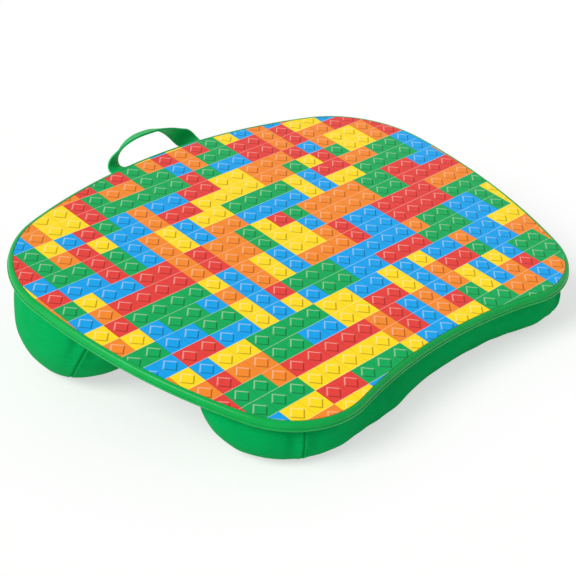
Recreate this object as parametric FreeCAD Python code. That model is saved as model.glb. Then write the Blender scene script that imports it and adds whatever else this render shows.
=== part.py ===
import FreeCAD, Part
import math
import os
from collections import namedtuple
from FreeCAD import Placement, Rotation, Vector

# Lap tray with a two-bolster cushion and a webbing carry handle, millimetres.
# The board is drawn in its own plane: y runs back from the middle of the back edge, z = 0 is the print.
# The finished assembly stands tilted on both bolsters, with the floor at z = 0.

# Outline of the board
board_width = 444.5
centre_depth = 328.6
widest_from_back = 116.2
back_bow = 52.7
side_radius = 460.0
back_corner_radius = 94.0
front_corner_radius = 70.0
notch_bow = 59.94

# Layers of the board and its edge band
print_thickness = 0.5
core_thickness = 7.0
backing_thickness = 0.5
band_width = 4.3
band_rounding = 3.0
rounding_steps = 3
band_joint = 0.3
print_gap = 0.3
tongue_thickness = 2.2
tongue_depth = 7.0
groove_clearance = 0.15

# Cushion cover and filling
cushion_back_height = 91.5
cushion_front_height = 35.5
cloth = 1.2
top_cloth_inset = 5.5
wall_inset = 6.3
wall_bulge = 1.2
floor_cut = 0.5
base_seam_height = 6.0
inner_tightening = 0.76
outer_tightening = 1.6
loft_steps = 5
filling_facets = (8, 6, 1, 6)

# Bolsters: run is how far a side draws in at the floor, start the share of height where it begins
back_depth = 177.0
back_inner_radius = 54.7
back_inner_run = 68.0
back_inner_start = 0.09
back_wall_run = 31.0
back_wall_start = 0.3
back_end_run = 31.0
back_end_start = 0.3
back_seam_turn = 36.0
front_depth = 83.9
front_inner_radius = 34.3
front_inner_run = 33.0
front_inner_start = 0.2
front_wall_run = 28.0
front_wall_start = 0.7
front_end_run = 25.0
front_end_start = 0.32
front_seam_turn = 60.0
seam_cut_depth = 25.0

# Webbing handle
strap_width = 18.0
strap_thickness = 1.6
strap_spacing = 85.0
tail_length = 52.0
tail_clearance = 0.5
hinge_behind_edge = 7.8
hinge_gap = 0.3
root_length = 2.0
loop_reach = 24.0
loop_rise = 15.0
loop_lean = 59.0
rise_power = 1.25
twist_power = 0.5
loop_steps = 24
tangent_step = 0.001
nose_turn = 75.0
nose_steps = 3

# Staples
staple_crown = 10.0
staple_wire = 0.6
staple_width = 1.0
staple_leg = 6.5
cover_staple_inset = 18.0
staples_per_half = 10
tail_staple_margin = 4.0
tail_staple_rows = 2
tail_staple_columns = 2

board_thickness = print_thickness + core_thickness + backing_thickness
top_cloth_thickness = strap_thickness
stack = board_thickness + top_cloth_thickness
tilt = math.degrees(math.asin((cushion_back_height - cushion_front_height) / centre_depth))
hinge_line = cushion_back_height / math.sin(math.radians(tilt))
hinge_y = hinge_behind_edge
hinge_z = -board_thickness - strap_thickness / 2
tail_rear = hinge_y - strap_thickness / 2 - hinge_gap
tail_front = tail_rear - tail_length
back_radius = ((board_width / 2) ** 2 + back_bow**2) / (2 * back_bow)
notch_radius = ((board_width / 2) ** 2 + notch_bow**2) / (2 * notch_bow)

Round = namedtuple("Round", "centre radius")
Bolster = namedtuple(
    "Bolster", "height inner_line inner_radius inner_run inner_start wall_run wall_start end_run end_start seam_turn"
)
back_bolster = Bolster(
    cushion_back_height, -back_depth, back_inner_radius, back_inner_run, back_inner_start,
    back_wall_run, back_wall_start, back_end_run, back_end_start, back_seam_turn,
)
front_bolster = Bolster(
    cushion_front_height, front_depth - centre_depth, front_inner_radius, front_inner_run, front_inner_start,
    front_wall_run, front_wall_start, front_end_run, front_end_start, front_seam_turn,
)
x_axis = Vector(1, 0, 0)


def unit(vector):
    return Vector(vector).normalize()


def mirrored(point):
    return Vector(-point.x, point.y, point.z)


def meeting_point(first, first_distance, second, second_distance):
    """Point at the two distances from two points, on the left of the way from first to second."""
    way = second - first
    along = (first_distance**2 - second_distance**2 + way.Length**2) / (2 * way.Length)
    across = math.sqrt(first_distance**2 - along**2)
    direction = unit(way)
    return first + direction * along + Vector(-direction.y, direction.x) * across


def outline_rounds(long_inset, end_inset, corner_inset):
    """The circles that bound the right half of the board, drawn in from long sides, ends and corners."""
    back = Round(Vector(0, -back_radius), back_radius - long_inset)
    side = Round(Vector(board_width / 2 - side_radius, -widest_from_back), side_radius - end_inset)
    notch = Round(Vector(0, -centre_depth - notch_radius), notch_radius + long_inset)
    back_fillet = back_corner_radius - corner_inset
    back_corner = meeting_point(
        side.centre, side.radius - back_fillet, back.centre, back.radius - back_fillet
    )
    front_fillet = front_corner_radius - corner_inset
    front_corner = meeting_point(
        side.centre, side.radius - front_fillet, notch.centre, notch.radius + front_fillet
    )
    return back, Round(back_corner, back_fillet), side, Round(front_corner, front_fillet), notch


def touch(large, small):
    """Where a small circle touches a larger one that it lies along."""
    return large.centre + unit(small.centre - large.centre) * large.radius


def arc_between(circle, start, end):
    middle = unit((start - circle.centre) + (end - circle.centre)) * circle.radius
    return Part.Arc(start, circle.centre + middle, end).toShape()


def mirrored_chain(chain):
    """Right-half edges, from the centre line round to the centre line, closed with their mirror image."""
    right = [arc_between(*step) for step in chain]
    left = []
    for circle, start, end in reversed(chain):
        other = Round(mirrored(circle.centre), circle.radius)
        left.append(arc_between(other, mirrored(end), mirrored(start)))
    return right, left


def outline_halves(inset):
    """Right and left edges of the board's outline, drawn in evenly, from the middle of the back round."""
    back, back_corner, side, front_corner, notch = outline_rounds(inset, inset, inset)
    stops = [
        Vector(0, -inset),
        touch(back, back_corner),
        touch(side, back_corner),
        touch(side, front_corner),
        touch(notch, front_corner),
        Vector(0, inset - centre_depth),
    ]
    rounds = [back, back_corner, side, front_corner, notch]
    return mirrored_chain(list(zip(rounds, stops, stops[1:])))


def board_outline(inset):
    right, left = outline_halves(inset)
    return Part.Wire(right + left)


def plate(inset, top, thickness):
    """Flat sheet of the board's outline under the height top."""
    face = Part.Face(board_outline(inset))
    face.translate(Vector(0, 0, top - thickness))
    return face.extrude(Vector(0, 0, thickness))


def flat_face(points):
    return Part.Face(Part.makePolygon(points + points[:1]))


def faceted_solid(sections):
    """Closed solid through sections of equal corner counts, with flat triangles between them."""
    faces = [flat_face(sections[0]), flat_face(sections[-1])]
    for near, far in zip(sections, sections[1:]):
        for index in range(len(near)):
            before = index - 1
            faces.append(flat_face([near[before], near[index], far[index]]))
            faces.append(flat_face([near[before], far[index], far[before]]))
    return Part.makeSolid(Part.makeShell(faces))


def drawn_in(share, run, start, bolster_height):
    """Inset of a soft side at a share of the way down: a quarter ellipse that the floor cuts flat."""
    full = 1 + floor_cut / bolster_height
    past = max(0.0, share - start) / (full - start)
    return run * (1 - math.sqrt(1 - past**2))


def wall_line(share):
    return wall_inset - wall_bulge * math.sin(math.pi * share)


def bolster_rounds(bolster, share, cover):
    """Circles and inner line of a bolster's section at a share of its height, cover inside its cloth."""
    rear = bolster is back_bolster
    wall = wall_line(share) + cover
    wall_inset_here = drawn_in(share, bolster.wall_run, bolster.wall_start, bolster.height)
    end_inset = drawn_in(share, bolster.end_run, bolster.end_start, bolster.height)
    inner_inset = drawn_in(share, bolster.inner_run, bolster.inner_start, bolster.height)
    corner_inset = outer_tightening * (wall_inset_here + end_inset) / 2
    back, back_corner, side, front_corner, notch = outline_rounds(
        wall + wall_inset_here, wall + end_inset, wall + corner_inset
    )
    radius = bolster.inner_radius - inner_tightening * inner_inset - cover
    sign = 1 if rear else -1
    line = bolster.inner_line + sign * (inner_inset + cover)
    centre_y = line + sign * radius
    reach = math.sqrt((side.radius - radius) ** 2 - (centre_y - side.centre.y) ** 2)
    inner_corner = Round(Vector(side.centre.x + reach, centre_y), radius)
    foot = Vector(inner_corner.centre.x, line)
    if rear:
        return back, back_corner, side, inner_corner, foot
    return notch, front_corner, side, inner_corner, foot


def bolster_edges(bolster, share, cover):
    """Edges of a bolster's section, in order from the left end of its long side."""
    long_side, corner, side, inner_corner, foot = bolster_rounds(bolster, share, cover)
    points = [touch(long_side, corner), touch(side, corner), touch(side, inner_corner), foot]
    chain = [(corner, points[0], points[1]), (side, points[1], points[2]), (inner_corner, points[2], foot)]
    right, left = mirrored_chain(chain)
    inner = Part.LineSegment(foot, mirrored(foot)).toShape()
    outer = arc_between(long_side, mirrored(points[0]), points[0])
    return [outer] + right + [inner] + left


def on_wedge(shape, share):
    """Turn a plan shape about the line where the board's and floor's planes meet, floor at share 1."""
    shape.translate(Vector(0, hinge_line, 0))
    shape.rotate(Vector(), x_axis, tilt * (1 - share))
    return shape


def loft_shares():
    """Shares of a bolster's height, closer together towards the rounded foot."""
    return [math.sin(math.radians(90 * step / loft_steps)) for step in range(loft_steps + 1)]


def bolster_solid(bolster):
    """Outside of a bolster, down to the floor."""
    wires = [on_wedge(Part.Wire(bolster_edges(bolster, share, 0)), share) for share in loft_shares()]
    return Part.makeLoft(wires, True, True)


def bolster_filling(bolster):
    """Filling inside the cover cloth, with flat facets that meet on the cloth's inner side."""
    counts = filling_facets + (1,) + filling_facets[:0:-1]
    sections = []
    for share in loft_shares():
        points = []
        for edge, count in zip(bolster_edges(bolster, share, cloth), counts):
            points += [Part.Vertex(point) for point in edge.discretize(Number=count + 1)[:-1]]
        ring = on_wedge(Part.makeCompound(points), share)
        ring.translate(Vector(0, 0, cloth * share))
        sections.append([vertex.Point for vertex in ring.Vertexes])
    return faceted_solid(sections)


def seam_polygon(bolster, share):
    """Outline in front of the two upright seams, at a share of the height."""
    _, corner, _, inner_corner, _ = bolster_rounds(bolster, min(max(share, 0), 1), 0)
    seat = inner_corner if bolster is back_bolster else corner
    turn = math.radians(bolster.seam_turn)
    outward = Vector(math.cos(turn), -math.sin(turn))
    inside = seat.centre + outward * (seat.radius - seam_cut_depth)
    outside = seat.centre + outward * (seat.radius + seam_cut_depth)
    far = Vector(board_width, outside.y - board_width)
    points = [outside, inside, mirrored(inside), mirrored(outside), mirrored(far), far]
    return on_wedge(Part.makePolygon(points + [outside]), share)


def cover_panels(bolster):
    """Cover cloth of a bolster, cut at its seams into front panel, rest of the wall, base; and its filling."""
    filling = bolster_filling(bolster)
    shell = bolster_solid(bolster).cut(filling)
    floor_slab = Part.makeBox(3 * board_width, 3 * hinge_line, base_seam_height)
    floor_slab.translate(Vector(-1.5 * board_width, -hinge_line, 0))
    base = shell.common(floor_slab)
    wall = shell.cut(floor_slab)
    sector = Part.makeLoft([seam_polygon(bolster, share) for share in (-0.1, 1.1)], True, True)
    return wall.common(sector), wall.cut(sector), base, filling


def staple(point, along):
    """One staple driven up into the board: its crown lies along a direction, flush with z = -stack."""
    half = staple_crown / 2
    crown = Part.makeBox(staple_crown, staple_width, staple_wire, Vector(-half, -staple_width / 2, 0))
    shape = crown
    for x in (-half, half - staple_wire):
        leg = Part.makeBox(staple_wire, staple_width, staple_leg, Vector(x, -staple_width / 2, 0))
        shape = shape.fuse(leg)
    shape = shape.removeSplitter()
    shape.rotate(Vector(), Vector(0, 0, 1), math.degrees(math.atan2(along.y, along.x)))
    shape.translate(Vector(point.x, point.y, -stack))
    return shape


def point_along(edges, distance):
    """Point and direction at a distance along a run of edges."""
    for edge in edges:
        if distance <= edge.Length:
            parameter = edge.getParameterByLength(distance)
            return edge.valueAt(parameter), edge.tangentAt(parameter)
        distance -= edge.Length


def cover_staples():
    """Staples round the top cloth: one between the strap's tails, the rest evenly from there to the front."""
    right, _ = outline_halves(cover_staple_inset)
    beside_tail = (strap_spacing + strap_width) / 2 + staple_crown
    pitch = (sum(edge.Length for edge in right) - beside_tail) / (staples_per_half - 0.5)
    distances = [(strap_spacing - strap_width) / 4]
    distances += [beside_tail + index * pitch for index in range(staples_per_half)]
    staples = []
    for distance in distances:
        point, along = point_along(right, distance)
        staples.append(staple(point, along))
        staples.append(staple(mirrored(point), mirrored(along)))
    return staples


def tail_slab(side, clearance):
    """Strap tail under the board: side is -1 for the left one."""
    width = strap_width + 2 * clearance
    corner = Vector(side * strap_spacing / 2 - width / 2, tail_front - clearance, -stack)
    return Part.makeBox(width, tail_length + clearance, strap_thickness, corner)


def tail_staples(side):
    """Rows of staples along a strap tail, in front of the edge band's tongue."""
    outer = (strap_spacing + strap_width) / 2
    edge_drop = back_radius - math.sqrt(back_radius**2 - outer**2)
    end_room = tail_staple_margin + staple_crown / 2
    first = tail_front + end_room
    last = -edge_drop - band_width - tongue_depth - end_room
    offset = strap_width / 4
    staples = []
    for row in range(tail_staple_rows):
        y = first + (last - first) * row / (tail_staple_rows - 1)
        for column in range(tail_staple_columns):
            x = side * strap_spacing / 2 + offset * (2 * column - tail_staple_columns + 1)
            staples.append(staple(Vector(x, y), Vector(0, 1, 0)))
    return staples


def loop_centre(turn):
    """Middle line of the strap loop: half an ellipse that rises as it reaches back from its flat roots."""
    out = max(math.sin(turn), 0)
    root = hinge_y + root_length
    x = strap_spacing / 2 * math.cos(turn)
    return Vector(x, root + (loop_reach - root) * out, hinge_z + loop_rise * out**rise_power)


def section_corners(centre, across, through):
    """Corners of the strap's section, from half its width and half its thickness."""
    return [
        centre + across + through,
        centre + across - through,
        centre - across - through,
        centre - across + through,
    ]


def loop_section(turn):
    """Strap section at an angle round the loop: flat at both ends, standing on edge at the far side."""
    centre = loop_centre(turn)
    tangent = unit(loop_centre(turn + tangent_step) - loop_centre(turn - tangent_step))
    lean = math.radians(loop_lean)
    share = 1 - abs(1 - turn / (math.pi / 2))
    twist = math.pi / 2 * max(share, 0) ** twist_power
    flat = math.copysign(math.cos(twist), math.cos(turn))
    across = Vector(flat, -math.sin(lean) * math.sin(twist), math.cos(lean) * math.sin(twist))
    across = unit(across - tangent * across.dot(tangent)) * (strap_width / 2)
    through = unit(tangent.cross(across)) * (strap_thickness / 2)
    return section_corners(centre, across, through)


def nose_section(side, turn):
    """Section of the strap's rounded end, at an angle from the hinge axis to its tip."""
    radius = strap_thickness / 2
    centre = Vector(side * strap_spacing / 2, hinge_y - radius * math.sin(turn), hinge_z)
    across = Vector(side * strap_width / 2, 0, 0)
    return section_corners(centre, across, Vector(0, 0, -radius * math.cos(turn)))


def handle_loop():
    """Strap from hinge to hinge, with rounded ends that turn beside the tails."""
    loop = [loop_section(math.pi * step / loop_steps) for step in range(loop_steps + 1)]
    turns = [math.radians(nose_turn * step / nose_steps) for step in range(nose_steps + 1)]
    right_nose = [nose_section(1, turn) for turn in reversed(turns)]
    left_nose = [nose_section(-1, turn) for turn in turns]
    return faceted_solid(right_nose + loop + left_nose)


def rounded_levels():
    """Inset and height of the edge band's outside, from the underside up to the print."""
    rounding = min(band_rounding, 0.95 * band_width, 0.45 * board_thickness)
    turns = [math.radians(90 * step / rounding_steps) for step in range(rounding_steps + 1)]
    upper = [(rounding * (1 - math.cos(turn)), rounding * (math.sin(turn) - 1)) for turn in turns]
    lower = [(inset, -board_thickness - height) for inset, height in reversed(upper)]
    return lower + upper


def edge_band():
    """Rounded edge strip with a tongue in the board's groove, butted at the middle of the back."""
    wires = []
    for inset, height in rounded_levels():
        wire = board_outline(inset)
        wire.translate(Vector(0, 0, height))
        wires.append(wire)
    rim = Part.makeLoft(wires, True, True)
    rim = rim.cut(plate(band_width, board_thickness, 3 * board_thickness))
    middle = -print_thickness - core_thickness / 2
    tongue = plate(band_width, middle + tongue_thickness / 2, tongue_thickness)
    tongue = tongue.cut(plate(band_width + tongue_depth, middle + tongue_thickness, 2 * tongue_thickness))
    band = rim.fuse(tongue).removeSplitter()
    joint_depth = 2 * (band_width + tongue_depth)
    joint = Part.makeBox(band_joint, 2 * joint_depth, 2 * board_thickness)
    joint.translate(Vector(-band_joint / 2, -joint_depth, -1.5 * board_thickness))
    return band.cut(joint)


def tray_core():
    core = plate(band_width, -print_thickness, core_thickness)
    middle = -print_thickness - core_thickness / 2
    height = tongue_thickness + 2 * groove_clearance
    groove = plate(band_width / 2, middle + height / 2, height)
    inner = plate(band_width + tongue_depth + groove_clearance, middle + height, 2 * height)
    return core.cut(groove.cut(inner))


def board_pieces():
    """Flat layers, handle tails and staples, in the board's own plane."""
    tails = {side: tail_slab(side, 0) for side in (-1, 1)}
    round_staples = cover_staples()
    strap_staples = tail_staples(-1) + tail_staples(1)
    cuts = Part.makeCompound(round_staples + strap_staples)
    slots = Part.makeCompound([tail_slab(side, tail_clearance) for side in (-1, 1)])
    top_cloth = plate(top_cloth_inset, -board_thickness, top_cloth_thickness)
    backing = plate(band_width, backing_thickness - board_thickness, backing_thickness)
    return {
        "print_laminate": plate(band_width + print_gap, 0, print_thickness),
        "tray_core": tray_core().cut(cuts),
        "backing_sheet": backing.cut(cuts),
        "edge_band": edge_band(),
        "top_cloth": top_cloth.cut(slots).cut(cuts),
        "handle_left_tail": tails[-1].cut(cuts),
        "handle_right_tail": tails[1].cut(cuts),
        "handle_loop": handle_loop(),
        "cover_staples": Part.makeCompound(round_staples),
        "handle_staples": Part.makeCompound(strap_staples),
    }


def cushion_pieces():
    names = {
        "back": ("back_bolster_inner_panel", "back_bolster_outer_panel"),
        "front": ("front_bolster_front_panel", "front_bolster_inner_panel"),
    }
    pieces = {}
    for end, bolster in (("back", back_bolster), ("front", front_bolster)):
        before_seam, behind_seam, base, filling = cover_panels(bolster)
        pieces[names[end][0]] = before_seam
        pieces[names[end][1]] = behind_seam
        pieces[end + "_bolster_base_panel"] = base
        pieces[end + "_bolster_filling"] = filling
    return pieces


def standing(point):
    """A point of the board's plane, once the tray stands on its bolsters."""
    turn = Placement(Vector(), Rotation(x_axis, tilt))
    return turn.multVec(Vector(point.x, point.y + hinge_line, point.z + stack))


def assembly():
    """Every piece by name, standing on the floor with the middle of its footprint at the origin."""
    pieces = {}
    for name, shape in board_pieces().items():
        shape.translate(Vector(0, hinge_line, stack))
        shape.rotate(Vector(), x_axis, tilt)
        pieces[name] = shape
    pieces.update(cushion_pieces())
    box = Part.makeCompound(list(pieces.values())).optimalBoundingBox(False)
    middle = (box.YMin + box.YMax) / 2
    for shape in pieces.values():
        shape.translate(Vector(0, -middle, 0))
    return pieces, middle


def main():
    os.makedirs("parts", exist_ok=True)
    pieces, middle = assembly()
    for name, shape in pieces.items():
        shape.exportStep("parts/%s.step" % name)
        volume = shape.Volume / 1000
        print("%-28s solids %2d valid %s %.1f cm3" % (name, len(shape.Solids), shape.isValid(), volume))
    print("tilt %.3f degrees, middle %.3f, hinge line %.3f" % (tilt, middle, hinge_line))


if __name__ == "__main__":
    main()
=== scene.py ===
import bpy
import math
import numpy as np
from mathutils import Matrix, Vector, kdtree, noise


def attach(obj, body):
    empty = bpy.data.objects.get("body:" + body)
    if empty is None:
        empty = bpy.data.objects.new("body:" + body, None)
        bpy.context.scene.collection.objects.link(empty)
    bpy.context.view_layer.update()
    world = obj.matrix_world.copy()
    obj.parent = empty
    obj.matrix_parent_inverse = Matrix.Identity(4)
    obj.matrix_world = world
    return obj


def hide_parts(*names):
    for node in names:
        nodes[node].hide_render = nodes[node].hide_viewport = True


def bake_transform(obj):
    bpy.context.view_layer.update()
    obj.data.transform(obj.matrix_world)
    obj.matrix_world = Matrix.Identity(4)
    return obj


# Lap tray with a cushion of two bolsters: metres, floor at z = 0, the user sits on the -y side;
# lengths in the dictionaries of the pieces are millimetres, and angles are degrees
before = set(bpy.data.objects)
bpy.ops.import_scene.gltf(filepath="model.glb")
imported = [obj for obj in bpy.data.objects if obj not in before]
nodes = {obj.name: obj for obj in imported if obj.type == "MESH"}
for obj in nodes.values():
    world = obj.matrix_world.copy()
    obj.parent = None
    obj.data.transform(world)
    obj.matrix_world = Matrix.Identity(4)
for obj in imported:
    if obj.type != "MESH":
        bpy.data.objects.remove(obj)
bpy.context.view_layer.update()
mm = 0.001

# how the board stands on its bolsters
stand = {"backHeight": 91.5, "frontHeight": 35.5, "depth": 328.6, "stack": 9.6, "middle": 374.452}
tilt = math.asin((stand["backHeight"] - stand["frontHeight"]) / stand["depth"])
tiltLine = stand["backHeight"] / math.sin(tilt)
boardPlace = (
    Matrix.Translation((0, -stand["middle"] * mm, 0))
    @ Matrix.Rotation(tilt, 4, "X")
    @ Matrix.Translation((0, tiltLine * mm, stand["stack"] * mm))
)
boardInverse = boardPlace.inverted()


def pick(piece):
    # only this piece is selected and active
    bpy.ops.object.select_all(action="DESELECT")
    piece.select_set(True)
    bpy.context.view_layer.objects.active = piece


def copyNode(name, pieceName):
    # a merged copy of a CAD node, free to be reshaped
    piece = bpy.data.objects.new(pieceName, nodes[name].data.copy())
    bpy.context.scene.collection.objects.link(piece)
    piece.data.materials.clear()
    pick(piece)
    bpy.ops.object.mode_set(mode="EDIT")
    bpy.ops.mesh.select_all(action="SELECT")
    bpy.ops.mesh.remove_doubles(threshold=0.01 * mm)
    bpy.ops.object.mode_set(mode="OBJECT")
    bpy.ops.mesh.customdata_custom_splitnormals_clear()
    return piece


def applyModifier(piece, kind, **settings):
    pick(piece)
    modifier = piece.modifiers.new(kind.title(), kind)
    for name, value in settings.items():
        setattr(modifier, name, value)
    bpy.ops.object.modifier_apply(modifier=modifier.name)


def fetch(items, name):
    flat = np.empty(len(items) * 3)
    items.foreach_get(name, flat)
    return flat.reshape(-1, 3)


def points(piece):
    return fetch(piece.data.vertices, "co")


def setPoints(piece, places):
    piece.data.vertices.foreach_set("co", np.asarray(places).ravel())
    piece.data.update()


def normals(piece):
    return fetch(piece.data.vertices, "normal")


def faceMiddles(piece):
    return fetch(piece.data.polygons, "center")


def moved(matrix, places):
    turn = np.array(matrix)
    return places @ turn[:3, :3].T + turn[:3, 3]


def placeOnBoard(piece):
    # from the board's own plane to where the tray stands
    piece.data.transform(boardPlace)
    piece.data.update()


def selectFaces(piece, chosen):
    # chosen says yes or no for each face; the piece is in object mode
    bpy.context.tool_settings.mesh_select_mode = (False, False, True)
    for item in (piece.data.vertices, piece.data.edges):
        item.foreach_set("select", np.zeros(len(item), bool))
    piece.data.polygons.foreach_set("select", chosen)


def nearTree(places):
    tree = kdtree.KDTree(len(places))
    for index, place in enumerate(places):
        tree.insert(place, index)
    tree.balance()
    return tree


def hexColour(code):
    parts = [int(code[start:start + 2], 16) / 255 for start in (0, 2, 4)]
    return [part / 12.92 if part <= 0.04045 else ((part + 0.055) / 1.055) ** 2.4 for part in parts] + [1.0]


def newMaterial(name, **sockets):
    material = bpy.data.materials.new(name)
    material.use_nodes = True
    tree = material.node_tree
    shader = tree.nodes["Principled BSDF"]
    for socket, value in sockets.items():
        shader.inputs[socket.replace("_", " ")].default_value = value
    return material, tree, shader


def output(node):
    return next(socket for socket in node.outputs if socket.enabled)


def addNode(tree, kind, *links, stops=(), **settings):
    # links fill the node's inputs in order, settings name its options or inputs; a node stands for its output
    node = tree.nodes.new("ShaderNode" + kind)
    values = dict(enumerate(links))
    for name, value in settings.items():
        if name in node.bl_rna.properties:
            setattr(node, name, value)
        else:
            values[name.replace("_", " ")] = value
    for name, value in values.items():
        if isinstance(value, bpy.types.Node):
            value = output(value)
        if isinstance(value, bpy.types.NodeSocket):
            tree.links.new(value, node.inputs[name])
        else:
            node.inputs[name].default_value = value
    # stops are a ramp's places and colours
    elements = node.color_ramp.elements if stops else []
    while len(elements) < len(stops):
        elements.new(1.0)
    for element, (place, code) in zip(elements, stops):
        element.position = place
        element.color = hexColour(code)
    return node


def plug(shader, **sockets):
    # each named input of the shader follows a node
    for name, node in sockets.items():
        shader.id_data.links.new(output(node), shader.inputs[name.replace("_", " ")])


def wear(piece, material, smooth=True, crease=0):
    # edges sharper than the crease angle, in degrees, stay sharp
    piece.data.materials.clear()
    piece.data.materials.append(material)
    if smooth:
        pick(piece)
        bpy.ops.object.shade_smooth()
    if crease:
        bpy.ops.object.shade_smooth_by_angle(angle=math.radians(crease))


# Materials

# lines and diamonds are measured in cells, their edges and lines mixed in by shares
laminate = {
    "cell": 17.96, "colours": ["FFDC1E", "E5403A", "0BA2EC", "00A857", "F58A2B"],
    "shuffle": 5.0, "drift": 2.6, "lineWidth": 0.022, "paleLine": 0.4, "darkLine": 0.3,
    "diamond": 0.36, "diamondEdge": 0.06, "litEdge": 0.38, "shadeEdge": 0.8, "litFade": 0.05,
    "pale": "FFFBEA", "dark": "7A5A30", "cloud": 6.0, "peel": 1.4,
}


def printedMelamine():
    # printed paper under a pressed satin overlay: crisp colour blocks, faint drawn relief, soft gloss
    material, tree, shader = newMaterial("printedMelamine", Roughness=0.3, IOR=1.5, Specular_IOR_Level=0.1)
    place = addNode(tree, "TexCoord").outputs["Object"]
    size = 1 / (laminate["cell"] * mm)
    cells = addNode(tree, "Mapping", Vector=place, Rotation=(-tilt, 0, 0), Scale=(size, size, size))
    x, y = addNode(tree, "SeparateXYZ", cells).outputs[:2]

    # blocks of one, two or four cells, in rows of two that step sideways
    row = addNode(tree, "Math", addNode(tree, "Math", y, 2.0, operation="DIVIDE"), operation="FLOOR")
    step = addNode(tree, "Math", row, 2.0, operation="FLOORED_MODULO")
    along = addNode(tree, "Math", x, step, operation="ADD")
    column = addNode(tree, "Math", addNode(tree, "Math", along, 2.0, operation="DIVIDE"), operation="FLOOR")
    insideX = addNode(tree, "Math", along, 2.0, operation="FLOORED_MODULO")
    insideY = addNode(tree, "Math", y, 2.0, operation="FLOORED_MODULO")
    cellX = addNode(tree, "Math", insideX, operation="FLOOR")
    cellY = addNode(tree, "Math", insideY, operation="FLOOR")
    group = addNode(tree, "CombineXYZ", column, row, laminate["shuffle"])
    draw = addNode(tree, "TexWhiteNoise", group, noise_dimensions="3D")
    shape = addNode(tree, "Math", addNode(tree, "Math", draw, 4.0, operation="MULTIPLY"), operation="FLOOR")
    splitX = addNode(tree, "Math", shape, 2.0, operation="FLOORED_MODULO")
    splitY = addNode(tree, "Math", addNode(tree, "Math", shape, 2.0, operation="DIVIDE"), operation="FLOOR")
    blockX = addNode(tree, "Math", splitX, cellX, operation="MULTIPLY")
    blockY = addNode(tree, "Math", splitY, cellY, operation="MULTIPLY")
    # colours step through the inks so that few blocks meet their own colour
    lane = addNode(tree, "Math", column, 4.0, addNode(tree, "Math", blockX, 2.0, operation="MULTIPLY"),
                   operation="MULTIPLY_ADD")
    line = addNode(tree, "Math", row, 2.0, blockY, operation="MULTIPLY_ADD")
    secondDraw = addNode(tree, "SeparateColor", draw.outputs["Color"]).outputs["Green"]
    drift = addNode(tree, "Math", secondDraw, laminate["drift"], operation="MULTIPLY")
    order = addNode(tree, "Math", lane, addNode(tree, "Math", line, 1.0, drift, operation="MULTIPLY_ADD"),
                    operation="ADD")
    inkCount = len(laminate["colours"])
    turn = addNode(tree, "Math", addNode(tree, "Math", order, operation="FLOOR"), float(inkCount),
                   operation="FLOORED_MODULO")
    share = addNode(tree, "Math", turn, 1 / inkCount, 0.5 / inkCount, operation="MULTIPLY_ADD")
    inks = addNode(tree, "ValToRGB", share,
                   stops=[(index / inkCount, code) for index, code in enumerate(laminate["colours"])])
    inks.color_ramp.interpolation = "CONSTANT"

    # pale joint lines one way and dark ones the other, as drawn on the paper
    acrossX = addNode(tree, "Math", x, operation="FRACT")
    acrossY = addNode(tree, "Math", y, operation="FRACT")
    pale = addNode(tree, "Math", acrossY, laminate["lineWidth"], operation="LESS_THAN")
    dark = addNode(tree, "Math", acrossX, laminate["lineWidth"], operation="LESS_THAN")
    # a raised diamond is drawn in each cell, lit from the back of the board
    fromX = addNode(tree, "Math", acrossX, 0.5, operation="SUBTRACT")
    fromY = addNode(tree, "Math", acrossY, 0.5, operation="SUBTRACT")
    sideX = addNode(tree, "Math", fromX, operation="ABSOLUTE")
    sideY = addNode(tree, "Math", fromY, operation="ABSOLUTE")
    reach = addNode(tree, "Math", sideX, sideY, operation="ADD")
    offEdge = addNode(tree, "Math", reach, laminate["diamond"], operation="SUBTRACT")
    edge = addNode(tree, "MapRange", addNode(tree, "Math", offEdge, operation="ABSOLUTE"),
                   From_Max=laminate["diamondEdge"], To_Min=1.0, To_Max=0.0)
    lit = addNode(tree, "MapRange", fromY, From_Min=-laminate["litFade"], From_Max=laminate["litFade"])
    unlit = addNode(tree, "Math", 1.0, lit, operation="SUBTRACT")
    litEdge = addNode(tree, "Math", edge, lit, operation="MULTIPLY")
    darkEdge = addNode(tree, "Math", edge, unlit, operation="MULTIPLY")
    paleShare = addNode(tree, "Math", addNode(tree, "Math", pale, laminate["paleLine"], operation="MULTIPLY"),
                        addNode(tree, "Math", litEdge, laminate["litEdge"], operation="MULTIPLY"),
                        operation="MAXIMUM")
    darkShare = addNode(tree, "Math", addNode(tree, "Math", dark, laminate["darkLine"], operation="MULTIPLY"),
                        addNode(tree, "Math", darkEdge, laminate["shadeEdge"], operation="MULTIPLY"),
                        operation="MAXIMUM")
    lighter = addNode(tree, "Mix", data_type="RGBA", Factor=paleShare, A=inks, B=hexColour(laminate["pale"]))
    darker = addNode(tree, "Mix", data_type="RGBA", blend_type="MULTIPLY", Factor=darkShare, A=lighter,
                     B=hexColour(laminate["dark"]))
    # ink takes a little unevenly on the paper, in clouds
    cloud = addNode(tree, "TexNoise", Vector=place, Scale=1 / (laminate["cloud"] * mm), Detail=4.0)
    tone = addNode(tree, "MapRange", cloud, To_Min=0.95, To_Max=1.05)
    inked = addNode(tree, "HueSaturation", Color=darker, Value=tone)
    # satin press plate: an orange peel too shallow to break the colours
    peel = addNode(tree, "TexNoise", Vector=place, Scale=1 / (laminate["peel"] * mm), Detail=2.0)
    gloss = addNode(tree, "MapRange", cloud, To_Min=0.26, To_Max=0.36)
    bump = addNode(tree, "Bump", Height=peel, Strength=0.06, Distance=0.05 * mm)
    plug(shader, Base_Color=inked, Roughness=gloss, Normal=bump)
    return material


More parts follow.
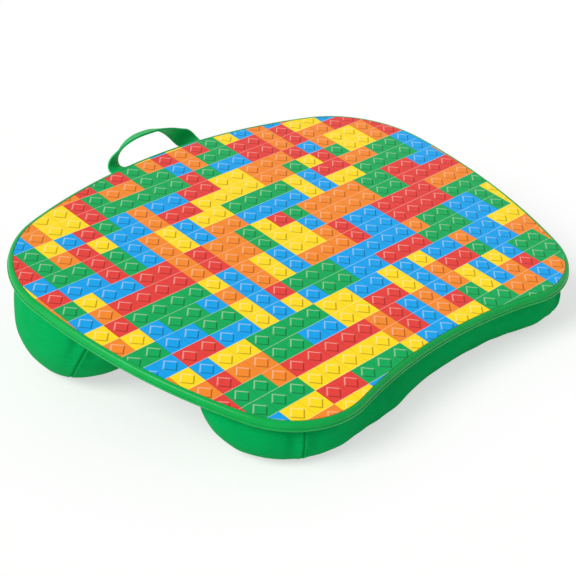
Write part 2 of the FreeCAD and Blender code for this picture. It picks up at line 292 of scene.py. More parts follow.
def glossVinyl():
    # extruded vinyl edging: deep even colour, a soft shine along the nose, a few scuffs that dull it
    material, tree, shader = newMaterial("glossVinyl", Roughness=0.28, IOR=1.53, Specular_IOR_Level=0.12)
    cloudSize, scuffSize = 22 * mm, 6 * mm
    place = addNode(tree, "TexCoord").outputs["Object"]
    cloud = addNode(tree, "TexNoise", Vector=place, Scale=1 / cloudSize, Detail=3.0)
    tint = addNode(tree, "ValToRGB", cloud, stops=[(0.3, "009C43"), (0.7, "00A64B")])
    scuff = addNode(tree, "TexNoise", Vector=place, Scale=1 / scuffSize, Detail=3.0)
    gloss = addNode(tree, "MapRange", scuff, From_Min=0.35, From_Max=0.7, To_Min=0.22, To_Max=0.34)
    bump = addNode(tree, "Bump", Height=scuff, Strength=0.02, Distance=0.05 * mm)
    plug(shader, Base_Color=tint, Roughness=gloss, Normal=bump)
    return material


def polyesterPoplin():
    # plain-woven polyester: matt, fine crossed threads, slubs and a soft sheen at grazing angles, with painted light
    # and shade on the weave's relief
    material, tree, shader = newMaterial(
        "polyesterPoplin", Roughness=0.82, IOR=1.45, Sheen_Weight=0.008, Sheen_Roughness=0.5,
        Specular_IOR_Level=0.03,
    )
    thread = 1.1 * mm  # a real thread is about 0.3 mm: drawn coarser so that it shows
    slubLength, slubWidth, cloudSize = 14 * mm, 1.6 * mm, 45 * mm
    perThread = 2 * math.pi / thread
    weave = addNode(tree, "UVMap", uv_map="threads")
    along, up = addNode(tree, "SeparateXYZ", weave).outputs[:2]
    warp = addNode(tree, "Math", addNode(tree, "Math", along, perThread, operation="MULTIPLY"), operation="SINE")
    weft = addNode(tree, "Math", addNode(tree, "Math", up, perThread, operation="MULTIPLY"), operation="SINE")
    crossing = addNode(tree, "Math", warp, weft, operation="MULTIPLY")
    over = addNode(tree, "Math", crossing, 0.25, 0.5, operation="MULTIPLY_ADD")
    slubPlace = addNode(tree, "Mapping", Vector=weave, Scale=(1 / slubLength, 1 / slubWidth, 1.0))
    slub = addNode(tree, "TexNoise", Vector=slubPlace, Scale=1.0, Detail=3.0)
    place = addNode(tree, "TexCoord").outputs["Object"]
    cloud = addNode(tree, "TexNoise", Vector=place, Scale=1 / cloudSize, Detail=4.0)
    # painted light in the weave: raised crossings and slubs are coloured lighter, a painted highlight, and the gaps
    # darker, a painted shade; the tint runs from the cloth's shaded tone to its lit tone, and the cloud varies it at
    # random
    threads = addNode(tree, "Math", over, 0.35, addNode(tree, "Math", slub, 0.35, operation="MULTIPLY"),
                      operation="MULTIPLY_ADD")
    depth = addNode(tree, "Math", cloud, 0.3, threads, operation="MULTIPLY_ADD")
    tint = addNode(tree, "ValToRGB", depth, stops=[(0.3, "009149"), (0.7, "00A856")])
    height = addNode(tree, "Math", slub, 0.5, over, operation="MULTIPLY_ADD")
    bump = addNode(tree, "Bump", Height=height, Strength=0.35, Distance=0.15 * mm)
    plug(shader, Base_Color=tint, Normal=bump)
    return material


def polypropyleneWebbing():
    # flat-woven webbing: ribs across the strap in chevrons, slightly shiny filaments, and a painted highlight on the
    # raised ribs
    material, tree, shader = newMaterial(
        "polypropyleneWebbing", Roughness=0.5, IOR=1.49, Sheen_Weight=0.01, Sheen_Roughness=0.4,
        Specular_IOR_Level=0.08,
    )
    rib, lane, fibreSize = 1.5 * mm, 2.25 * mm, 0.9 * mm  # coarser than real webbing, so that they show
    weave = addNode(tree, "UVMap", uv_map="threads")
    along, across = addNode(tree, "SeparateXYZ", weave).outputs[:2]
    # the ribs lean one way and then the other, lane by lane
    sway = addNode(tree, "Math", across, lane, operation="PINGPONG")
    lean = addNode(tree, "Math", along, sway, operation="ADD")
    ribTurn = addNode(tree, "Math", lean, 2 * math.pi / rib, operation="MULTIPLY")
    laneTurn = addNode(tree, "Math", across, 2 * math.pi / lane, operation="MULTIPLY")
    ribs = addNode(tree, "Math", addNode(tree, "Math", ribTurn, operation="SINE"), 0.5, 0.5,
                   operation="MULTIPLY_ADD")
    lanes = addNode(tree, "Math", addNode(tree, "Math", laneTurn, operation="SINE"), 0.5, 0.5,
                    operation="MULTIPLY_ADD")
    height = addNode(tree, "Math", lanes, 0.35, ribs, operation="MULTIPLY_ADD")
    place = addNode(tree, "TexCoord").outputs["Object"]
    fibre = addNode(tree, "TexNoise", Vector=place, Scale=1 / fibreSize, Detail=3.0)
    # painted highlight: the raised ribs are coloured lighter and the grooves darker, over the fibres' random tone
    paintedRibHighlight = addNode(tree, "Math", height, 0.45, operation="MULTIPLY")
    depth = addNode(tree, "Math", fibre, 0.4, paintedRibHighlight, operation="MULTIPLY_ADD")
    tint = addNode(tree, "ValToRGB", depth, stops=[(0.15, "007A38"), (0.75, "0CC868")])
    bump = addNode(tree, "Bump", Height=height, Strength=0.6, Distance=0.25 * mm)
    plug(shader, Base_Color=tint, Normal=bump)
    return material


def plainFinish(name, dark, light, grain, roughness, bumpHeight, **sockets):
    # a speckled finish: grain is the size of its specks and bumpHeight their relief, in millimetres
    material, tree, shader = newMaterial(name, Roughness=roughness, **sockets)
    place = addNode(tree, "TexCoord").outputs["Object"]
    speck = addNode(tree, "TexNoise", Vector=place, Scale=1 / (grain * mm), Detail=6.0)
    tint = addNode(tree, "ValToRGB", speck, stops=[(0.35, dark), (0.65, light)])
    bump = addNode(tree, "Bump", Height=speck, Strength=0.3, Distance=bumpHeight * mm)
    plug(shader, Base_Color=tint, Normal=bump)
    return material


coverCloth = polyesterPoplin()

# CAD nodes whose shape is right keep it, with their own finish
wear(nodes["print_laminate"], printedMelamine(), smooth=False)
# pressed fibreboard: matt brown, flecked by its fibres
fibreboard = plainFinish("fibreboard", "8C6C46", "B0905F", grain=1.2, roughness=0.85, bumpHeight=0.1)
wear(nodes["tray_core"], fibreboard, smooth=False)
# unprinted balancing paper: pale and nearly flat, with a faint mottle
balancingPaper = plainFinish("balancingPaper", "D8CFBE", "E8E1D3", grain=2.5, roughness=0.7, bumpHeight=0.05)
wear(nodes["backing_sheet"], balancingPaper, smooth=False)
# galvanised steel wire: a grey shine, clouded by its zinc
galvanisedSteel = plainFinish(
    "galvanisedSteel", "8E9296", "C3C7CA", grain=0.8, roughness=0.35, bumpHeight=0.03, Metallic=1.0,
)
wear(nodes["cover_staples"], galvanisedSteel, smooth=False)
wear(nodes["handle_staples"], galvanisedSteel, smooth=False)
print("CAD nodes have their finishes")


# Edge band: a bullnose swept round the print's outline, butted at the middle of the back

edging = {
    "inner": 0.3, "outer": 4.6, "height": 8.0, "topRound": 3.4, "bottomRound": 2.4, "roundSteps": 7,
    "lip": 0.6, "lipDrop": 4.9, "lipRound": 0.25, "crownLift": 0.12, "innerDrop": 0.35, "chamfer": 0.25,
    "sink": 0.02, "joint": 0.3, "jointRoom": 25.0, "jointFront": -60.0, "smoothness": 4, "crease": 50,
}


def outlineLoop(name, pieceName):
    # the outer edge of a CAD sheet's top face, flat in the board's plane
    piece = copyNode(name, pieceName)
    piece.data.transform(boardInverse)
    top = points(piece)[:, 2].max()
    skin = 0.1 * mm  # what lies deeper than this isn't the top face
    selectFaces(piece, faceMiddles(piece)[:, 2] < top - skin)
    bpy.ops.object.mode_set(mode="EDIT")
    bpy.ops.mesh.delete(type="FACE")
    bpy.ops.mesh.select_all(action="SELECT")
    bpy.ops.mesh.dissolve_faces()
    bpy.ops.mesh.select_all(action="SELECT")
    bpy.ops.mesh.delete(type="ONLY_FACE")
    bpy.ops.object.mode_set(mode="OBJECT")
    return piece


def bandProfile():
    # section of the edging as a closed ring: x outward from the print, y up
    inner, outer, height = edging["inner"], edging["outer"], edging["height"]
    topRound, lipRound, bottomRound = edging["topRound"], edging["lipRound"], edging["bottomRound"]
    nose = outer - edging["lip"]
    steps = edging["roundSteps"]
    quarter = [math.pi / 2 * step / steps for step in range(steps + 1)]
    section = [(inner, -edging["innerDrop"]), (inner + edging["chamfer"], 0.0)]
    for step, turn in enumerate(quarter):
        crown = topRound + edging["crownLift"] * math.sin(math.pi * step / steps)
        section.append((
            nose - topRound + crown * math.sin(turn),
            -topRound + crown * math.cos(turn) - edging["sink"],
        ))
    # a moulded lip stands out round the lower part and catches the light
    section.append((nose, -edging["lipDrop"]))
    for turn in quarter:
        section.append((
            outer - lipRound + lipRound * math.sin(turn),
            -edging["lipDrop"] - lipRound + lipRound * math.cos(turn),
        ))
    for turn in quarter:
        section.append((
            outer - bottomRound + bottomRound * math.cos(turn),
            -height + bottomRound - bottomRound * math.sin(turn),
        ))
    section.append((inner, -height))
    return section


def makeEdgeBand():
    profile = bpy.data.curves.new("bandProfile", "CURVE")
    spline = profile.splines.new("POLY")
    section = bandProfile()
    spline.points.add(len(section) - 1)
    for point, (outward, up) in zip(spline.points, section):
        point.co = (-outward * mm, up * mm, 0, 1)
    spline.use_cyclic_u = True
    profileObject = bpy.data.objects.new("bandProfile", profile)
    bpy.context.scene.collection.objects.link(profileObject)

    band = outlineLoop("print_laminate", "edgeBand")
    pick(band)
    bpy.ops.object.convert(target="CURVE")
    bpy.ops.object.mode_set(mode="EDIT")
    bpy.ops.curve.select_all(action="SELECT")
    bpy.ops.curve.spline_type_set(type="BEZIER")
    bpy.ops.curve.handle_type_set(type="AUTOMATIC")
    bpy.ops.object.mode_set(mode="OBJECT")
    band.data.dimensions = "2D"
    band.data.fill_mode = "NONE"
    band.data.resolution_u = edging["smoothness"]
    band.data.bevel_mode = "OBJECT"
    band.data.bevel_object = profileObject
    pick(band)
    bpy.ops.object.convert(target="MESH")
    bpy.data.objects.remove(profileObject)
    bpy.ops.object.mode_set(mode="EDIT")
    bpy.ops.mesh.select_all(action="SELECT")
    bpy.ops.mesh.remove_doubles(threshold=0.001 * mm)
    bpy.ops.mesh.normals_make_consistent(inside=False)
    bpy.ops.object.mode_set(mode="OBJECT")
    return band


def nearJoint(band, room):
    middles = faceMiddles(band)
    return (np.abs(middles[:, 0]) < room) & (middles[:, 1] > edging["jointFront"] * mm)


def cutBandJoint(band):
    # the two ends of the edging meet at the middle of the back with a hairline joint
    half = edging["joint"] / 2 * mm
    for side in (-half, half):
        selectFaces(band, nearJoint(band, edging["jointRoom"] * mm))
        bpy.ops.object.mode_set(mode="EDIT")
        bpy.ops.mesh.bisect(plane_co=(side, 0, 0), plane_no=(1, 0, 0), threshold=1e-7)
        bpy.ops.object.mode_set(mode="OBJECT")
    # the sliver between the two cuts goes
    selectFaces(band, nearJoint(band, half * 0.9))
    bpy.ops.object.mode_set(mode="EDIT")
    bpy.ops.mesh.delete(type="FACE")
    bpy.ops.mesh.select_all(action="SELECT")
    bpy.ops.mesh.fill_holes(sides=0)
    bpy.ops.mesh.normals_make_consistent(inside=False)
    bpy.ops.object.mode_set(mode="OBJECT")


edgeBand = makeEdgeBand()
cutBandJoint(edgeBand)
placeOnBoard(edgeBand)
wear(edgeBand, glossVinyl(), crease=edging["crease"])
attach(edgeBand, "tray")
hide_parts("edge_band")
print("edge band swept,", len(edgeBand.data.polygons), "faces")


# Webbing handle: one strap from tail to tail, stapled under the board and looped out at the back

strap = {
    "width": 18.0, "thickness": 1.6, "spacing": 85.0, "tailFront": -45.3, "hingeBack": 7.8, "hingeDown": -8.8,
    "reach": 22.4, "rise": 16.2, "risePower": (1.8, 2.5), "reachPower": 0.85, "sidePower": (0.83, 0.73),
    "twist": ((0, 0), (0.1, 42), (0.3, 69), (0.5, 86), (0.7, 100), (0.9, 128), (1, 180)),
    "lean": ((0, 74), (0.5, 65.5), (1, 40)), "ease": 0.09, "easeSteps": 13, "rootEase": 0.05,
    "tailStep": 3.5, "bendStep": 0.4, "bendRoom": 3.0, "loopSteps": 120, "acrossSteps": 10, "edgeRound": 0.45,
    "stiffness": 10, "blendRoom": 2.0, "crease": 50,
}


def loopCentre(turn):
    # the right leg lies a little lower than the left one
    out = max(math.sin(turn), 0)
    root = strap["hingeBack"]
    side = math.cos(turn)
    leg = int(side > 0)
    return Vector((
        strap["spacing"] / 2 * math.copysign(abs(side) ** strap["sidePower"][leg], side),
        root + (strap["reach"] - root) * out ** strap["reachPower"],
        strap["hingeDown"] + strap["rise"] * out ** strap["risePower"][leg],
    ))


def eased(stops, share):
    # straight runs between the stops, rounded off
    places, values = zip(*stops)
    spread = strap["ease"] * np.linspace(-1, 1, strap["easeSteps"])
    return float(np.interp(share + spread, places, values).mean())


def loopAcross(turn, share):
    # flat at both roots, and turned half over on the way round: share is how far along the loop this is
    step = 0.001
    tangent = (loopCentre(turn + step) - loopCentre(turn - step)).normalized()
    flat = 0 if share < 0.5 else 180
    free = min(1, share / strap["rootEase"], (1 - share) / strap["rootEase"])
    twist = math.radians(flat + (eased(strap["twist"], share) - flat) * free)
    lean = math.radians(eased(strap["lean"], share))
    across = Vector((math.cos(twist), -math.sin(lean) * math.sin(twist), math.cos(lean) * math.sin(twist)))
    return (across - tangent * across.dot(tangent)).normalized()


def strapStations():
    # middle and width direction along the strap, from the right tail's end to the left one's
    hinge, room = strap["hingeBack"], strap["bendRoom"]
    tail = list(np.arange(strap["tailFront"], hinge - room, strap["tailStep"]))
    tail += list(np.arange(hinge - room, hinge, strap["bendStep"]))
    right = [(Vector((strap["spacing"] / 2, y, strap["hingeDown"])), Vector((1, 0, 0))) for y in tail]
    left = [(Vector((-strap["spacing"] / 2, y, strap["hingeDown"])), Vector((-1, 0, 0))) for y in reversed(tail)]
    turns = [math.pi * step / strap["loopSteps"] for step in range(strap["loopSteps"] + 1)]
    centres = [loopCentre(turn) for turn in turns]
    lengths = runLengths(centres)
    loop = [
        (centre, loopAcross(turn, length / lengths[-1]))
        for centre, turn, length in zip(centres, turns, lengths)
    ]
    stations = right + loop + left
    return [(centre, soften(stations, index)) for index, (centre, across) in enumerate(stations)]


def soften(stations, index):
    # webbing is stiff across: its turn is spread over the stations on both sides
    near = stations[max(index - strap["stiffness"], 0):index + strap["stiffness"] + 1]
    return sum((across for centre, across in near), Vector()).normalized()


def runLengths(centres):
    lengths = [0.0]
    for near, far in zip(centres, centres[1:]):
        lengths.append(lengths[-1] + (far - near).length)
    return lengths


def makeStrap():
    stations = strapStations()
    lengths = runLengths([centre for centre, across in stations])
    bpy.ops.object.select_all(action="DESELECT")
    bpy.ops.mesh.primitive_grid_add(
        x_subdivisions=len(stations) - 1, y_subdivisions=strap["acrossSteps"], size=1, calc_uvs=True,
    )
    piece = bpy.context.object
    piece.name = "webbingStrap"
    mesh = piece.data
    mesh.uv_layers[0].name = "threads"
    half = strap["width"] / 2
    threads = []
    for vertex in mesh.vertices:
        station = round((vertex.co.x + 0.5) * (len(stations) - 1))
        share = vertex.co.y * 2
        centre, across = stations[station]
        threads.append((lengths[station] * mm, (share * half + half) * mm))
        vertex.co = (centre + across * (share * half)) * mm
    for loop in mesh.loops:
        mesh.uv_layers["threads"].data[loop.index].uv = threads[loop.vertex_index]
    applyModifier(piece, "SOLIDIFY", thickness=strap["thickness"] * mm, offset=0, use_even_offset=True)
    applyModifier(piece, "BEVEL", width=strap["edgeRound"] * mm, segments=3, limit_method="ANGLE",
                  angle_limit=math.radians(60))
    return piece


webbingStrap = makeStrap()
placeOnBoard(webbingStrap)
wear(webbingStrap, polypropyleneWebbing(), crease=strap["crease"])
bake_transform(webbingStrap)
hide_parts("handle_loop", "handle_left_tail", "handle_right_tail")
print("webbing strap looped,", len(webbingStrap.data.polygons), "faces")


# Top cloth: stretched under the board and stapled round its edge

topCloth = {
    "inset": 0.9, "grid": 6.0, "thickness": 1.1, "upper": -8.05, "slack": 0.35, "slotRoom": 0.5,
    "dimple": 0.45, "dimpleReach": 7.0, "ripple": 0.12, "rippleTop": 0.1, "rippleSize": 40.0, "rippleSeed": 3.0,
    "crease": 40,
}


def cutAcross(place, direction):
    bpy.ops.mesh.select_all(action="SELECT")
    bpy.ops.mesh.bisect(plane_co=place, plane_no=direction, threshold=1e-6)


def makeTopCloth():
    piece = outlineLoop("print_laminate", "stretchedTopCloth")
    pick(piece)
    bpy.ops.object.mode_set(mode="EDIT")
    bpy.ops.mesh.select_all(action="SELECT")
    bpy.ops.mesh.edge_face_add()
    bpy.ops.mesh.select_all(action="SELECT")
    bpy.ops.mesh.inset(thickness=topCloth["inset"] * mm, depth=0)
    bpy.ops.mesh.select_all(action="INVERT")
    bpy.ops.mesh.delete(type="FACE")
    bpy.ops.object.mode_set(mode="OBJECT")
    places = points(piece)
    low, high = places.min(0), places.max(0)
    slotHalf = (strap["width"] / 2 + topCloth["slotRoom"]) * mm
    slotFront = (strap["tailFront"] - topCloth["slotRoom"]) * mm
    middle = strap["spacing"] / 2 * mm
    slotSides = [side * middle + edge for side in (-1, 1) for edge in (-slotHalf, slotHalf)]
    step = topCloth["grid"] * mm
    bpy.ops.object.mode_set(mode="EDIT")
    for x in list(np.arange(low[0] + step, high[0], step)) + slotSides:
        cutAcross((x, 0, 0), (1, 0, 0))
    for y in list(np.arange(low[1] + step, high[1], step)) + [slotFront]:
        cutAcross((0, y, 0), (0, 1, 0))
    bpy.ops.object.mode_set(mode="OBJECT")
    faces = faceMiddles(piece)
    selectFaces(piece, (faces[:, 1] > slotFront) & (np.abs(np.abs(faces[:, 0]) - middle) < slotHalf))
    bpy.ops.object.mode_set(mode="EDIT")
    bpy.ops.mesh.delete(type="FACE")
    bpy.ops.object.mode_set(mode="OBJECT")
    return piece


def drawCloth(piece):
    # each staple draws the cloth up, and the cloth between ripples a little
    staples = moved(boardInverse, points(nodes["cover_staples"]))
    tree = nearTree([(*place[:2], 0) for place in staples])
    size = 1 / (topCloth["rippleSize"] * mm)
    level = topCloth["upper"] - topCloth["thickness"] - topCloth["slack"]
    places = points(piece)
    for place in places:
        gap = tree.find((place[0], place[1], 0))[2] / mm
        ripple = noise.noise((place[0] * size, place[1] * size, topCloth["rippleSeed"])) * topCloth["ripple"]
        drawn = topCloth["dimple"] * math.exp(-(gap / topCloth["dimpleReach"]) ** 2)
        place[2] = (level + min(ripple, topCloth["rippleTop"]) + drawn) * mm
    setPoints(piece, places)
    flatThreads(piece)
    applyModifier(piece, "SOLIDIFY", thickness=topCloth["thickness"] * mm, offset=1)


def flatThreads(piece):
    layer = piece.data.uv_layers.get("threads") or piece.data.uv_layers.new(name="threads")
    for loop in piece.data.loops:
        place = piece.data.vertices[loop.vertex_index].co
        layer.data[loop.index].uv = (place.x, place.y)


stretchedTopCloth = makeTopCloth()
clothSpan = points(stretchedTopCloth).max(0) - points(stretchedTopCloth).min(0)
drawCloth(stretchedTopCloth)
placeOnBoard(stretchedTopCloth)
wear(stretchedTopCloth, coverCloth, crease=topCloth["crease"])
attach(stretchedTopCloth, "tray")
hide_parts("top_cloth")


# Bolsters: bead-filled cloth covers, blown up by a cloth simulation and then sewn

sewing = {
    "pressure": 4.0, "frames": 20, "seamDepth": 1.3, "seamWidth": 0.5, "puff": 0.4, "puffPlace": 1.9,
    "puffWidth": 1.4, "cuts": (-4.5, -3.0, -2.0, -1.3, -0.8, -0.4, 0.0, 0.4, 0.8, 1.3, 2.0, 3.0, 4.5),
    "baseSeam": 6.0, "baseShare": 0.5, "baseCuts": (-2.0, -1.0, -0.5, 0.0, 0.5, 1.0, 2.0),
    "pucker": 0.14, "puckerLength": 9.0, "puckerLean": 0.35, "puckerPlace": 4.5, "puckerWidth": 3.0,
    "nearSeam": 7.0, "gather": 0.8, "gatherReach": 18.0, "gatherSize": 12.0, "gatherStretch": 5.0,
    "draw": 2.6, "drawPlace": 8.0, "drawWidth": 3.5, "drawReach": 24.0, "lumpSize": 38.0, "smallLump": 15.0,
    "smallShare": 0.5, "wallEnd": 0.92, "wallFade": 0.2, "heldEdge": 2.5, "quality": 6, "mass": 0.25,
    "topLap": 0.05, "floorGap": 0.1, "meetGap": 0.02, "flatFacing": 0.8,
}
backBolster = {
    "name": "backBolster", "parts": ["back_bolster_inner_panel", "back_bolster_outer_panel"],
    "base": "back_bolster_base_panel", "filling": "back_bolster_filling", "voxel": 4.5, "smoothing": 4, "cap": 2.2,
    "lump": 0.6, "halfRun": 125.0, "middleLine": -98.0, "bend": 0.0, "endRadius": 70.0, "seamLean": 9.0,
    "seamReach": 52.0, "endHeight": 80.0, "bulges": ((-192, 95, 45, 5.0), (192, 95, 45, 5.0)),
}
frontBolster = {
    "name": "frontBolster", "parts": ["front_bolster_front_panel", "front_bolster_inner_panel"],
    "base": "front_bolster_base_panel", "filling": "front_bolster_filling", "voxel": 3.6, "smoothing": 9, "cap": 2.6,
    "lump": 0.35, "halfRun": 150.0, "middleLine": -288.0, "bend": -0.0009, "endRadius": 45.0, "seamLean": 0.0,
    "seamReach": 24.0, "flare": 6.5, "tuck": 4.0, "endHeight": 38.0, "endFrom": 120.0, "endLength": 50.0,
    "bulges": (
        (-58, -160, 40, 8.0), (75, -158, 38, -3.0), (165, -156, 24, 5.5), (-160, -140, 25, 2.0), (152, -168, 15, 4.0),
    ),
}


def blowUp(piece, kit):
    # pressure swells the cover; where it is sewn on and where it stands on the floor it is held
    before = points(piece)
    height = moved(boardInverse, before)[:, 2] / mm
    held = piece.vertex_groups.new(name="held")
    edge = sewing["heldEdge"]
    firm = np.nonzero((height > -stand["stack"] - edge) | (before[:, 2] < edge * mm))[0]
    held.add([int(index) for index in firm], 1.0, "REPLACE")
    cloth = piece.modifiers.new("Cloth", "CLOTH")
    cloth.settings.quality = sewing["quality"]
    cloth.settings.mass = sewing["mass"]
    cloth.settings.vertex_group_mass = "held"
    cloth.settings.use_pressure = True
    cloth.settings.uniform_pressure_force = sewing["pressure"]
    cloth.settings.effector_weights.gravity = 0
    cloth.collision_settings.use_collision = False
    cloth.point_cache.frame_start = 1
    cloth.point_cache.frame_end = sewing["frames"]
    scene = bpy.context.scene
    for number in range(1, sewing["frames"] + 1):
        scene.frame_set(number)
    pick(piece)
    bpy.ops.object.modifier_apply(modifier="Cloth")
    scene.frame_set(1)
    piece.vertex_groups.clear()
    after = points(piece)
    way = after - before
    far = np.linalg.norm(way, axis=1, keepdims=True)
    capped = way * np.minimum(1, kit["cap"] * mm / np.maximum(far, 1e-9))
    print(kit["name"], "swelled by up to %.1f mm, kept to %.1f" % (far.max() / mm, kit["cap"]))
    setPoints(piece, before + capped)


def settle(piece):
    # flat where it stands on the floor and where it is sewn to the top cloth
    onBoard = moved(boardInverse, points(piece))
    onBoard[:, 2] = np.minimum(onBoard[:, 2], (sewing["topLap"] - stand["stack"]) * mm)
    places = moved(boardPlace, onBoard)
    places[:, 2] = np.maximum(places[:, 2], sewing["floorGap"] * mm)
    setPoints(piece, places)


def flareEnds(piece, kit):
    # the board pulls the ends of the cover outwards above, so their backs slope in to the base
    places, outward = points(piece), normals(piece)
    level = places[:, 2] / mm / kit["endHeight"]
    side = np.sign(places[:, 0])
    facing = np.clip((outward[:, 0] * side + outward[:, 1]) * math.sqrt(0.5), 0, 1)
    end = np.clip((np.abs(places[:, 0]) / mm - kit["endFrom"]) / kit["endLength"], 0, 1)
    push = (kit["flare"] * np.clip(level, 0, 1) - kit["tuck"] * np.clip(1 - level, 0, 1)) * facing * end
    away = np.stack([side, np.ones(len(places)), np.zeros(len(places))], 1) * math.sqrt(0.5)
    setPoints(piece, places + away * push[:, None] * mm)


def shiftFilling(piece, kit):
    # the beads have run to some places and left others: the lower wall bulges there
    places = points(piece)
    onBoard = moved(boardInverse, places) / mm
    along = np.clip(onBoard[:, 0], -kit["halfRun"], kit["halfRun"])
    away = np.stack([onBoard[:, 0] - along, onBoard[:, 1] - kit["middleLine"] - kit["bend"] * along ** 2], 1)
    away /= np.maximum(np.linalg.norm(away, axis=1, keepdims=True), kit["endRadius"] / 2)
    low = np.clip(1 - places[:, 2] / mm / kit["endHeight"], 0, 1)
    push = np.zeros(len(places))
    for x, y, spread, amount in kit["bulges"]:
        gap = np.hypot(places[:, 0] / mm - x, places[:, 1] / mm - y)
        push += amount * np.exp(-(gap / spread) ** 2)
    places[:, :2] += away * (push * low ** 2 * (3 - 2 * low))[:, None] * mm
    setPoints(piece, places)


def seamLine(kit, side):
    # where the two wall panels meet on one side: points of the seam and the plane through them
    first, second = [[vertex.co for vertex in nodes[name].data.vertices] for name in kit["parts"]]
    tree = nearTree(second)
    meetGap = sewing["meetGap"] * mm
    shared = np.array([place for place in first if place.x * side > 0 and tree.find(place)[2] < meetGap])
    middle = shared.mean(0)
    normal = np.linalg.svd(shared - middle)[2][2]
    # the seam leans in the wall: its plane turns about the level line through its lower end
    foot = shared[shared[:, 2].argmin()]
    level = np.cross(normal, (0, 0, 1))
    lean = Matrix.Rotation(math.radians(kit["seamLean"]) * side, 3, Vector(level))
    return shared, foot, np.array(lean @ Vector(normal)), kit["seamReach"] * mm


def gapToSeam(places, seam):
    # signed distance to the seam's plane in millimetres; places out of the seam's reach count as a metre off
    shared, foot, normal, reach = seam
    gap = (places - foot) @ normal
    tree = nearTree(shared)
    near = np.abs(gap) < 3 * sewing["nearSeam"] * mm
    for index in np.nonzero(near)[0]:
        if tree.find(places[index])[2] > reach:
            near[index] = False
    return np.where(near, gap, 1.0) / mm


def cutBeside(piece, gaps, cuts, foot, normal):
    # lines of edges along a seam and beside it, so that the sewing shows in the mesh
    selectFaces(piece, np.abs(gaps) < sewing["nearSeam"])
    bpy.ops.object.mode_set(mode="EDIT")
    bpy.ops.mesh.hide(unselected=True)
    for offset in cuts:
        bpy.ops.mesh.select_all(action="SELECT")
        bpy.ops.mesh.bisect(plane_co=foot + normal * offset * mm, plane_no=normal, threshold=1e-6)
    bpy.ops.mesh.reveal(select=False)
    bpy.ops.object.mode_set(mode="OBJECT")


def refineSeams(piece, seams):
    pick(piece)
    for seam in seams:
        cutBeside(piece, gapToSeam(faceMiddles(piece), seam), sewing["cuts"], seam[1], seam[2])
    base = np.array((0, 0, sewing["baseSeam"] * mm))
    aboveBase = faceMiddles(piece)[:, 2] / mm - sewing["baseSeam"]
    cutBeside(piece, aboveBase, sewing["baseCuts"], base, np.array((0.0, 0.0, 1.0)))


def seamProfile(gap):
    # sunk at the thread, slightly full on both sides
    deep = -sewing["seamDepth"] * np.exp(-(gap / sewing["seamWidth"]) ** 2)
    full = sewing["puff"] * np.exp(-((np.abs(gap) - sewing["puffPlace"]) / sewing["puffWidth"]) ** 2)
    return deep + full


def sew(piece, kit, seams):
    places = points(piece)
    outward = normals(piece)
    wall = np.clip((sewing["wallEnd"] - np.abs(outward[:, 2])) / sewing["wallFade"], 0, 1)
    rise = np.zeros(len(places))
    upright = places[:, 2] / mm
    below = -stand["stack"] - moved(boardInverse, places)[:, 2] / mm
    hung = np.exp(-(below / sewing["drawReach"]) ** 2)
    for seam in seams:
        gap = gapToSeam(places, seam)
        rise += seamProfile(gap) * wall
        away = np.abs(gap)
        shiver = np.sin((upright + sewing["puckerLean"] * away) * 2 * math.pi / sewing["puckerLength"])
        beside = np.exp(-((away - sewing["puckerPlace"]) / sewing["puckerWidth"]) ** 2)
        rise += sewing["pucker"] * shiver * beside * wall
        # the seam hangs tight from the board and draws a hollow on both sides
        hollow = np.exp(-((away - sewing["drawPlace"]) / sewing["drawWidth"]) ** 2)
        rise -= sewing["draw"] * hollow * hung * wall
    rise += seamProfile(upright - sewing["baseSeam"]) * wall * sewing["baseShare"]
    # bead filling: the cover is never quite even, and it gathers a little where it hangs from the board
    near = sewing["gather"] * np.exp(-(below / sewing["gatherReach"]) ** 2)
    for index, place in enumerate(places):
        spot = Vector(place)
        lump = noise.noise(spot / (sewing["lumpSize"] * mm))
        lump += sewing["smallShare"] * noise.noise(spot / (sewing["smallLump"] * mm))
        spot.z /= sewing["gatherStretch"]
        fold = noise.noise(spot / (sewing["gatherSize"] * mm))
        rise[index] += (kit["lump"] * lump + near[index] * fold) * wall[index]
    setPoints(piece, places + outward * rise[:, None] * mm)


def wrapThreads(piece, kit):
    # thread lines run level round the wall and straight over the flat sides
    layer = piece.data.uv_layers.new(name="threads")
    places = moved(boardInverse, points(piece)) / mm
    half, radius = kit["halfRun"], kit["endRadius"]
    reach = np.clip(places[:, 0], -half, half)
    beyond = np.abs(places[:, 0]) - half
    fromLine = places[:, 1] - (kit["middleLine"] + kit["bend"] * reach ** 2)
    turn = np.arctan2(fromLine, np.maximum(beyond, 1e-6))
    whole = 4 * half + 2 * math.pi * radius
    front = fromLine < 0
    straight = np.where(front, places[:, 0], 2 * half + math.pi * radius - places[:, 0])
    rightEnd = half + radius * (turn + math.pi / 2)
    leftEnd = 3 * half + math.pi * radius + radius * (math.pi / 2 - turn)
    around = np.where(beyond <= 0, straight, np.where(places[:, 0] > 0, rightEnd, leftEnd))
    up = points(piece)[:, 2] / mm
    for face in piece.data.polygons:
        flat = abs(face.normal.z) > sewing["flatFacing"]
        start = around[face.vertices[0]]
        for corner in face.loop_indices:
            index = piece.data.loops[corner].vertex_index
            if flat:
                spot = places[index][:2]
            else:
                along = around[index]
                along += whole * round((start - along) / whole)
                spot = (along, up[index])
            layer.data[corner].uv = (spot[0] * mm, spot[1] * mm)


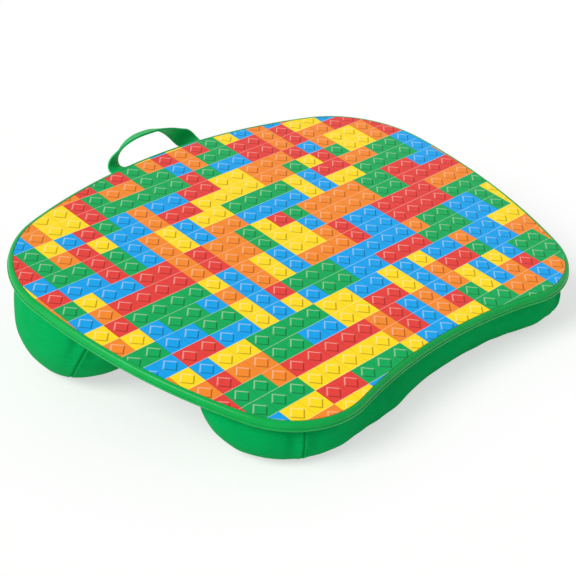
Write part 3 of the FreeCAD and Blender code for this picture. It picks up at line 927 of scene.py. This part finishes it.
def makeBolster(kit):
    # cover and filling become one closed form before it is blown up
    covers = [copyNode(name, name + "Copy") for name in (*kit["parts"], kit["base"])]
    piece = copyNode(kit["filling"], kit["name"])
    for cover in covers:
        cover.select_set(True)
    bpy.ops.object.join()
    applyModifier(piece, "REMESH", mode="VOXEL", voxel_size=kit["voxel"] * mm)
    applyModifier(piece, "SMOOTH", factor=0.5, iterations=kit["smoothing"])
    blowUp(piece, kit)
    settle(piece)
    applyModifier(piece, "SUBSURF", levels=1, render_levels=1)
    if "flare" in kit:
        flareEnds(piece, kit)
    shiftFilling(piece, kit)
    seams = [seamLine(kit, side) for side in (-1, 1)]
    refineSeams(piece, seams)
    sew(piece, kit, seams)
    settle(piece)
    wrapThreads(piece, kit)
    wear(piece, coverCloth)
    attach(piece, "tray")
    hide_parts(*kit["parts"], kit["base"], kit["filling"])
    print(kit["name"], "sewn,", len(piece.data.polygons), "faces")


makeBolster(backBolster)
makeBolster(frontBolster)


# Floor, light and camera

studio = {
    "floor": 8.0, "floorColour": "FDFDFC", "floorGlow": 0.6, "worldStrength": 0.44,
    "keyStrength": 2.6, "keySpread": 35.0, "keyFrom": (-0.85, 0.15, 0.8),
    "fillStrength": 0.12, "fillSpread": 60.0, "fillFrom": (0.2, -0.8, 0.6),
}


def seenDirectly(tree):
    # the camera's own rays and the ones it sees in a gloss
    rays = addNode(tree, "LightPath").outputs
    return addNode(tree, "Math", rays["Is Camera Ray"], rays["Is Glossy Ray"], operation="MAXIMUM")


def makeStudio():
    # plain pale floor that keeps the tray's shadow, and even light with a key from the left
    bpy.ops.object.select_all(action="DESELECT")
    bpy.ops.mesh.primitive_plane_add(size=studio["floor"])
    floor = bpy.context.object
    floor.name = "paleFloor"
    material, tree, shader = newMaterial("paleFloor", Roughness=0.9, Specular_IOR_Level=0.0)
    shader.inputs["Base Color"].default_value = hexColour(studio["floorColour"])
    # seen directly, the floor is mostly plain white, so that the shadow on it stays light
    share = addNode(tree, "Math", seenDirectly(tree), studio["floorGlow"], operation="MULTIPLY")
    paper = addNode(tree, "MixShader", share, shader, addNode(tree, "Emission", Strength=1.0))
    plug(tree.nodes["Material Output"], Surface=paper)
    floor.data.materials.append(material)

    world = bpy.data.worlds.new("studio")
    bpy.context.scene.world = world
    world.use_nodes = True
    tree = world.node_tree
    strength = addNode(tree, "MapRange", seenDirectly(tree), To_Min=studio["worldStrength"], To_Max=1.0)
    backdrop = tree.nodes["Background"]
    plug(backdrop, Strength=strength)
    backdrop.inputs["Color"].default_value = (1, 1, 1, 1)

    for label in ("key", "fill"):
        lamp = bpy.data.lights.new(label + "Light", "SUN")
        lamp.energy = studio[label + "Strength"]
        lamp.angle = math.radians(studio[label + "Spread"])
        light = bpy.data.objects.new(label + "Light", lamp)
        light.location = studio[label + "From"]
        light.rotation_mode = "QUATERNION"
        light.rotation_quaternion = (-Vector(studio[label + "From"])).to_track_quat("-Z", "Y")
        bpy.context.scene.collection.objects.link(light)


viewpoint = {
    "eye": (-0.66984, -0.66730, 0.53609), "right": (0.70269, -0.71149, -0.00386),
    "forward": (0.62350, 0.61839, -0.47837), "lens": 80.4, "sensor": 36,
}


def makeCamera():
    lens = bpy.data.cameras.new("camera")
    lens.lens = viewpoint["lens"]
    lens.sensor_width = viewpoint["sensor"]
    camera = bpy.data.objects.new("camera", lens)
    right, forward = Vector(viewpoint["right"]), Vector(viewpoint["forward"])
    up = right.cross(forward)
    turn = Matrix((right, up, -forward)).transposed().to_4x4()
    camera.matrix_world = Matrix.Translation(viewpoint["eye"]) @ turn
    bpy.context.scene.collection.objects.link(camera)
    bpy.context.scene.camera = camera


makeStudio()
makeCamera()
bpy.context.scene.view_settings.view_transform = "Standard"

print("scene is ready")
